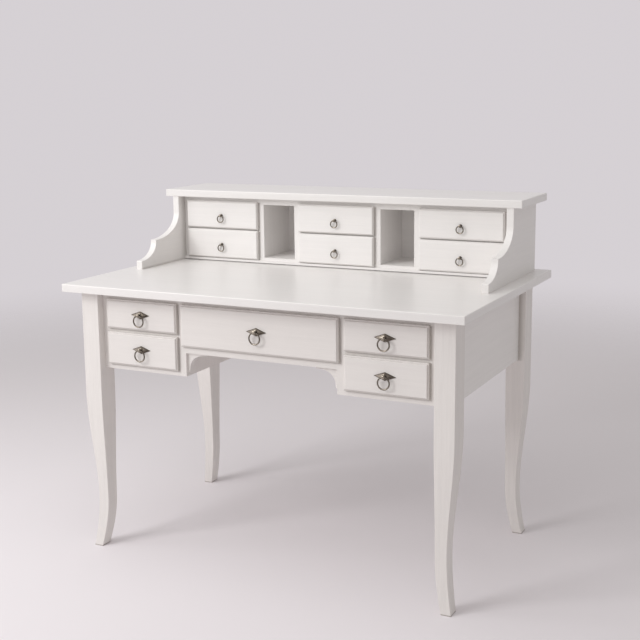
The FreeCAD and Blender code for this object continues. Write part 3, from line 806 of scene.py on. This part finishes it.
class DESK_OT_paint_boards(Operator):
    """Paint the panels and boards of the case and the superstructure"""

    bl_idname = "desk.paint_boards"
    bl_label = "Paint the boards"

    def execute(self, context):
        paint = context.scene.desk_paint
        for axis, nodes in (("Z", UPRIGHT_BOARDS), ("X", LONG_BOARDS), ("Y", DEEP_BOARDS)):
            for node in nodes:
                cover(node, painted(node, paint, axis))
        for node in SCROLLED_SIDES:
            cover(node, painted(node, paint, "Y", dust=scroll_dust))
        return {"FINISHED"}


def case_stiles(paint):
    """The uprights of the frame round the large drawers, as distances from the middle."""
    centre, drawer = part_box("drawer_centre"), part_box("drawer_right_lower")
    return [(centre[1].x - paint.lap, drawer[0].x + paint.lap),
            (drawer[1].x - paint.lap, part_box("face_frame")[1].x)]


def hutch_stiles(paint):
    """The uprights of the superstructure's frame, as distances from the middle."""
    centre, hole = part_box("small_drawer_centre_lower"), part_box("pigeonhole_right")
    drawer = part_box("small_drawer_right_lower")
    return [(centre[1].x - paint.small_lap, hole[0].x + paint.wall),
            (hole[1].x - paint.wall, drawer[0].x + paint.small_lap),
            (drawer[1].x - paint.small_lap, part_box("hutch_frame")[1].x)]


def case_frame_dust(finish, paint, node):
    """Painted shade beside and below the large drawers, and right under the table top."""
    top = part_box(node)[1].z
    gaps = outside(finish, LARGE_DRAWER_NODES, paint.recess)
    under = finish.step(finish.z, top - 2 * paint.recess, top - paint.recess)
    return (paint.gap_dust * gaps).most(paint.under_dust * under)


def hutch_frame_dust(finish, paint, node):
    """Painted shade beside and below the small drawers, but not on the stile at the right end."""
    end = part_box("small_drawer_right_lower")[1].x
    gaps = outside(finish, SMALL_DRAWER_NODES, paint.recess)
    return paint.gap_dust * gaps * finish.step(finish.x, end + 2 * SKIN, end - 2 * SKIN)


class DESK_OT_paint_frames(Operator):
    """Paint the two drawer frames, with upright stiles and level rails"""

    bl_idname = "desk.paint_frames"
    bl_label = "Paint the drawer frames"

    def execute(self, context):
        paint = context.scene.desk_paint
        for node, stiles, dust in (("face_frame", case_stiles, case_frame_dust),
                                   ("hutch_frame", hutch_stiles, hutch_frame_dust)):
            cover(node, painted(node, paint, "X", grain=frame_grain(stiles(paint)), dust=dust))
        return {"FINISHED"}


def front_dust(finish, paint, node):
    """Painted shade in the step of a drawer's front, along its right and lower sides."""
    low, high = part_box(node)
    # The small drawers at the right get less painted shade.
    less_shaded = node.startswith("small_drawer_right")
    amount = paint.clean_step_dust if less_shaded else paint.step_dust
    deep = finish.step(finish.y, low.y + 0.25 * paint.front_step, low.y + paint.front_step)
    right = finish.step(finish.x, high.x - paint.recess, high.x - SKIN)
    below = finish.step(finish.z, low.z + paint.recess, low.z + SKIN)
    return amount * deep * right.most(below)


def bare_wood(finish, paint, offset):
    """Colour and pores of planed pale wood, its growth lines along Y."""
    wander = finish.noise(WANDER, along("Y", WANDER_WIDTH), offset)
    lines = finish.noise(BARE_GROWTH, along("Y", BARE_GROWTH_WIDTH), offset)
    pores = finish.noise(BARE_PORES, along("Y", BARE_PORE_WIDTH), offset)
    mask = finish.step(0.55 * lines + 0.25 * wander + 0.2 * pores, 0.36, 0.66)
    return finish.mix(mask, opaque(paint.inside), opaque(paint.inside_dark)), pores


def drawer_finish(node, paint):
    """Paint on a drawer's front, and bare wood on the box behind it."""
    finish = Finish("paint_" + node)
    white, satin = coat(finish, node, paint, "X", dust=front_dust)
    wood, pores = bare_wood(finish, paint, len(node) * BARE_SHIFT)
    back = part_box(node)[0].y + paint.front_thickness
    bare = finish.step(finish.y, back, back + PAINT_LINE)
    planed = paint.wood_roughness + 0.15 * pores
    finish.set(Base_Color=finish.mix(bare, white, wood),
               Roughness=satin * (1 - bare) + planed * bare)
    return finish


class DESK_OT_finish_drawers(Operator):
    """Paint the drawer fronts and leave the drawer boxes in bare wood"""

    bl_idname = "desk.finish_drawers"
    bl_label = "Finish the drawers"

    def execute(self, context):
        for node in LARGE_DRAWER_NODES + SMALL_DRAWER_NODES:
            cover(node, drawer_finish(node, context.scene.desk_paint))
        return {"FINISHED"}


# --- pulls ------------------------------------------------------------------------------------
def ring_wear(finish, pulls, low, high):
    """A ring is dull, and rubbed bright where it is pulled, in its lower part."""
    pulled = finish.step(finish.z, low.z + 0.4 * (high.z - low.z), low.z)
    return pulls.rubbed_ring * pulled - pulls.dull_ring


def crown_wear_and_highlight(finish, pulls, low, high):
    """A plate is a little rubbed inside its rim, and the left of its crown is made brighter: a
    painted highlight.
    """
    middle, half = (low + high) / 2, (high - low) / 2
    outward = ((finish.x - middle.x).size() * (1 / half.x)
               + (finish.z - middle.z).size() * (1 / half.z))
    # Painted highlight: the left of the crown is made brighter.
    left = finish.step(finish.x, middle.x + 0.1 * half.x, middle.x - 0.35 * half.x)
    return (0.05 + pulls.crown_highlight * left) * finish.step(outward, 0.95, 0.8)


def bronze(node, pulls, wear=None):
    """Dark cast metal, rubbed bright in front and where a wear function says; on a plate that
    function also paints a highlight.
    """
    finish = Finish("bronze_" + node)
    low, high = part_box(node)
    cast = finish.noise(CASTING)
    stain = finish.noise(STAINS)
    front = finish.step(finish.y, high.y, low.y)
    rubbed = pulls.rubbed_front * front + 0.5 * (stain - 0.5) + 0.25 * (cast - 0.5)
    if wear:
        rubbed = rubbed + wear(finish, pulls, low, high)
    mask = finish.step(rubbed, 0.0, 0.75)
    finish.set(Base_Color=finish.mix(mask, opaque(pulls.patina), opaque(pulls.colour)),
               Metallic=1.0, Roughness=pulls.roughness - 0.1 * mask + 0.1 * (cast - 0.5))
    finish.bump(cast, pulls.cast_depth, 0.35)
    return finish


def face_place(node):
    """Middle of the place on a drawer's face where a pull is fixed."""
    low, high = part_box(node)
    return Vector(((low.x + high.x) / 2, high.y, (low.z + high.z) / 2))


def lozenge_plate(pulls, width, height):
    """Lozenge plate on the plane y = 0, with a flat rim and four falling facets."""
    fall, sink = pulls.rim / 3, pulls.edge / 4
    to_side = width * height / 4 / math.hypot(width / 2, height / 2)
    start()
    bpy.ops.mesh.primitive_circle_add(vertices=4, radius=1, fill_type="NGON",
                                      rotation=(math.pi / 2, 0, 0))
    plate = bpy.context.object
    settle()
    bpy.ops.object.mode_set(mode="EDIT")
    bpy.ops.mesh.select_all(action="SELECT")
    bpy.ops.transform.resize(value=(width / 2, 1, height / 2), center_override=(0, 0, 0))
    bpy.ops.mesh.extrude_region_move(TRANSFORM_OT_translate={"value": (0, -pulls.edge, 0)})
    bpy.ops.mesh.inset(thickness=pulls.rim)
    bpy.ops.mesh.inset(thickness=fall, depth=-sink)
    bpy.ops.mesh.inset(thickness=to_side - pulls.rim - fall - pulls.crown_flat,
                       depth=pulls.crown)
    bpy.ops.mesh.select_all(action="SELECT")
    bpy.ops.mesh.normals_make_consistent(inside=False)
    bpy.ops.object.mode_set(mode="OBJECT")
    apply_modifier(plate, "BEVEL", width=pulls.bevel, segments=2, limit_method="ANGLE",
                   angle_limit=BEVEL_ANGLE)
    return plate


def stud(name, pulls, base, collar, rise, head, node, ring_node):
    """A turned stud with collar, neck and domed head, and a hole for its ring.

    base is where it starts in front of the face, and rise is the collar's height. Its length
    and the place of the hole are those of the nodes that it stands for. The other numbers are
    shares of the collar's, the head's and the dome's size.
    """
    low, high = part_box(node)
    ring_low, ring_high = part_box(ring_node)
    length = high.y - low.y
    eye = high.y - (ring_low.y + ring_high.y) / 2
    dome = 0.4 * head
    piece = turned(name, [(base, collar), (base + 0.6 * rise, collar),
                          (base + 0.85 * rise, 0.94 * collar), (base + rise, 0.74 * collar),
                          (eye - head, 0.86 * head), (eye - 0.84 * head, 0.96 * head),
                          (eye - 0.5 * head, head), (length - dome, head),
                          (length - 0.45 * dome, 0.86 * head),
                          (length - 0.1 * dome, 0.56 * head), (length, 0.24 * head)],
                   pulls.facets)
    drilled(piece, eye, (ring_high.y - ring_low.y) / 2 + pulls.eye_play)
    return piece


def plate_pins(pulls, width):
    """Two round-headed pins near the long ends of a plate."""
    pins = []
    for side in (-1, 1):
        start()
        bpy.ops.mesh.primitive_uv_sphere_add(
            segments=PIN_FACETS, ring_count=PIN_RINGS, radius=pulls.pin,
            location=(side * (width / 2 - pulls.pin_inset), -pulls.edge, 0))
        pin = bpy.context.object
        pin.scale = (1, PIN_RISE, 1)
        settle()
        pins.append(pin)
    return pins


def ring(name, node, pulls):
    """Ring in the place of a node, a little thinner in its upper half."""
    low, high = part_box(node)
    wire = (high.y - low.y) / 2
    radius = (high.x - low.x) / 2 - wire
    start()
    bpy.ops.mesh.primitive_torus_add(major_segments=RING_FACETS, minor_segments=WIRE_FACETS,
                                     major_radius=radius, minor_radius=wire,
                                     rotation=(math.pi / 2, 0, 0))
    piece = bpy.context.object
    settle()
    bpy.ops.object.mode_set(mode="EDIT")
    mesh = bmesh.from_edit_mesh(piece.data)
    for vertex in mesh.verts:
        middle = Vector((vertex.co.x, 0, vertex.co.z)).normalized() * radius
        down = max(0.0, -middle.z / radius)
        thinner = pulls.ring_taper * max(0.0, 1 - 2 * down ** 2)
        vertex.co = middle + (vertex.co - middle) * (1 - thinner)
    bmesh.update_edit_mesh(piece.data)
    bpy.ops.object.mode_set(mode="OBJECT")
    piece.name = name
    piece.data.name = name
    piece.location = (low + high) / 2
    settle()
    bpy.ops.object.shade_smooth()
    return piece


def hang_pulls(pulls, pattern, names, size, fixed, piece, wear=None):
    """Fix a copy of a pattern and hang a ring on each of these drawers.

    size begins the names of the drawers and the rings, fixed those of the nodes that the
    copies stand for, and piece those of the copies. The pattern itself is deleted.
    """
    for name in names:
        node = fixed + name
        stands_for(copied(pattern, piece + name, face_place(node)), node,
                   size + "drawer_" + name, bronze(node, pulls, wear))
        node = size + "ring_" + name
        stands_for(ring("hanging_" + node, node, pulls), node, node,
                   bronze(node, pulls, ring_wear))
    choose(pattern)
    bpy.ops.object.delete()


class DESK_OT_large_pulls(Operator):
    """Model the lozenge plates and rings of the drawers under the top"""

    bl_idname = "desk.large_pulls"
    bl_label = "Model the large pulls"

    def execute(self, context):
        pulls = context.scene.desk_pulls
        low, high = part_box("plate_centre")
        width = high.x - low.x
        post = stud("stud", pulls, pulls.edge, pulls.collar, pulls.collar_rise, pulls.head,
                    "plate_centre", "ring_centre")
        plate = lozenge_plate(pulls, width, high.z - low.z)
        pattern = merged("plate", plate, post, *plate_pins(pulls, width))
        hang_pulls(pulls, pattern, LARGE_DRAWERS, "", "plate_", "lozenge_", crown_wear_and_highlight)
        return {"FINISHED"}


class DESK_OT_small_pulls(Operator):
    """Model the round studs and rings of the small drawers"""

    bl_idname = "desk.small_pulls"
    bl_label = "Model the small pulls"

    def execute(self, context):
        pulls = context.scene.desk_pulls
        low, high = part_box("small_stud_centre_lower")
        post = stud("small_stud", pulls, 0.0, (high.x - low.x) / 2, pulls.small_collar_rise,
                    pulls.small_head, "small_stud_centre_lower", "small_ring_centre_lower")
        pattern = merged("small_stud", post)
        hang_pulls(pulls, pattern, SMALL_DRAWERS, "small_", "small_stud_", "stud_")
        return {"FINISHED"}


# --- stage ------------------------------------------------------------------------------------
def floor_finish(stage):
    """Matt floor that fades into the backdrop far from the desk."""
    finish = Finish("floor")
    finish.set(Base_Color=opaque(stage.floor), Roughness=stage.floor_roughness,
               Specular_IOR_Level=stage.floor_gloss)
    away = finish.node("ShaderNodeVectorMath", {"operation": "LENGTH"}, [finish.place], "Value")
    gone = finish.step(away, stage.fade_start, stage.fade_end)
    clear = finish.node("ShaderNodeBsdfTransparent", {}, {})
    shaded = Wire(finish, finish.shader.outputs[0])
    finish.end("Material Output",
               finish.node("ShaderNodeMixShader", {}, [gone, shaded, clear]))
    return finish


def lay_floor(stage):
    """A round floor under the feet."""
    start()
    bpy.ops.mesh.primitive_circle_add(vertices=FLOOR_FACETS, radius=stage.floor_radius,
                                      fill_type="NGON")
    floor = bpy.context.object
    floor.name = "floor"
    floor.data.materials.append(floor_finish(stage).material)


def backdrop_world(stage):
    """Even light all round, and a pale backdrop for the eye and for reflections."""
    world = bpy.data.worlds.new("studio")
    world.use_nodes = True
    nodes = Nodes(world.node_tree)
    nodes.tree.nodes.remove(nodes.tree.nodes["Background"])
    light = nodes.node("ShaderNodeBackground", {}, [opaque(stage.ambient_colour), stage.ambient])
    backdrop = nodes.node("ShaderNodeBackground", {}, [opaque(stage.backdrop), 1.0])
    seen = nodes.node("ShaderNodeLightPath", {}, {}, "Is Camera Ray")
    mirrored = nodes.node("ShaderNodeLightPath", {}, {}, "Is Glossy Ray")
    nodes.end("World Output",
              nodes.node("ShaderNodeMixShader", {}, [seen.most(mirrored), light, backdrop]))
    return world


def lamp(name, place, aim, size, power):
    """A square lamp that faces a place."""
    data = bpy.data.lights.new(name, "AREA")
    data.shape = "SQUARE"
    data.size = size
    data.energy = power
    light = bpy.data.objects.new(name, data)
    bpy.context.scene.collection.objects.link(light)
    facing = (Vector(aim) - Vector(place)).to_track_quat("-Z", "Y")
    light.matrix_world = Matrix.Translation(place) @ facing.to_matrix().to_4x4()


def stand_camera(stage):
    """The camera at its place, turned by its heading, pitch and roll."""
    data = bpy.data.cameras.new("camera")
    data.sensor_fit = "HORIZONTAL"
    data.sensor_width = SENSOR_WIDTH
    data.lens = stage.camera_lens
    data.shift_x, data.shift_y = stage.camera_shift
    camera = bpy.data.objects.new("camera", data)
    bpy.context.scene.collection.objects.link(camera)
    camera.matrix_world = (Matrix.Translation(stage.camera_place)
                           @ Matrix.Rotation(stage.camera_heading, 4, "Z")
                           @ Matrix.Rotation(math.pi / 2 - stage.camera_pitch, 4, "X")
                           @ Matrix.Rotation(stage.camera_roll, 4, "Z"))
    return camera


class DESK_OT_stage(Operator):
    """Set up the floor, the backdrop, the lamps and the camera"""

    bl_idname = "desk.stage"
    bl_label = "Set up the stage"

    def execute(self, context):
        scene = context.scene
        stage = scene.desk_stage
        lay_floor(stage)
        scene.world = backdrop_world(stage)
        lamp("key", stage.key_place, stage.aim, stage.key_size, stage.key_power)
        lamp("side", stage.side_place, stage.aim, stage.side_size, stage.side_power)
        lamp("top", stage.top_place, stage.aim, stage.top_size, stage.top_power)
        scene.camera = stand_camera(stage)
        scene.view_settings.view_transform = "Standard"
        return {"FINISHED"}


# --- panel and start --------------------------------------------------------------------------
STEPS = (DESK_OT_paint_tops, DESK_OT_paint_legs, DESK_OT_paint_boards, DESK_OT_paint_frames,
         DESK_OT_finish_drawers, DESK_OT_large_pulls, DESK_OT_small_pulls, DESK_OT_stage)
SETTINGS = {"desk_paint": PaintSettings, "desk_pulls": PullSettings, "desk_stage": StageSettings}


class DESK_PT_panel(Panel):
    """Shows the settings, and the steps that dress the desk in their order"""

    bl_idname = "DESK_PT_panel"
    bl_label = "Writing desk"
    bl_space_type = "VIEW_3D"
    bl_region_type = "UI"
    bl_category = "Desk"

    def draw(self, context):
        for name in SETTINGS:
            settings = getattr(context.scene, name)
            box = self.layout.box()
            for key in settings.__annotations__:
                box.prop(settings, key)
        for step in STEPS:
            self.layout.operator(step.bl_idname)


def register():
    """Add the settings, the operators and the panel."""
    for kind in (*SETTINGS.values(), *STEPS, DESK_PT_panel):
        bpy.utils.register_class(kind)
    for name, kind in SETTINGS.items():
        setattr(bpy.types.Scene, name, PointerProperty(type=kind))


def unregister():
    """Take them away again."""
    for name in SETTINGS:
        delattr(bpy.types.Scene, name)
    for kind in reversed((*SETTINGS.values(), *STEPS, DESK_PT_panel)):
        bpy.utils.unregister_class(kind)


def run(step):
    """Call an operator by its class and stop if it doesn't finish."""
    group, name = step.bl_idname.split(".")
    if getattr(getattr(bpy.ops, group), name)() != {"FINISHED"}:
        raise RuntimeError(step.bl_idname + " did not finish")


def main():
    """Dress the desk."""
    register()
    for step in STEPS:
        run(step)
    start()


if __name__ == "__main__":
    main()
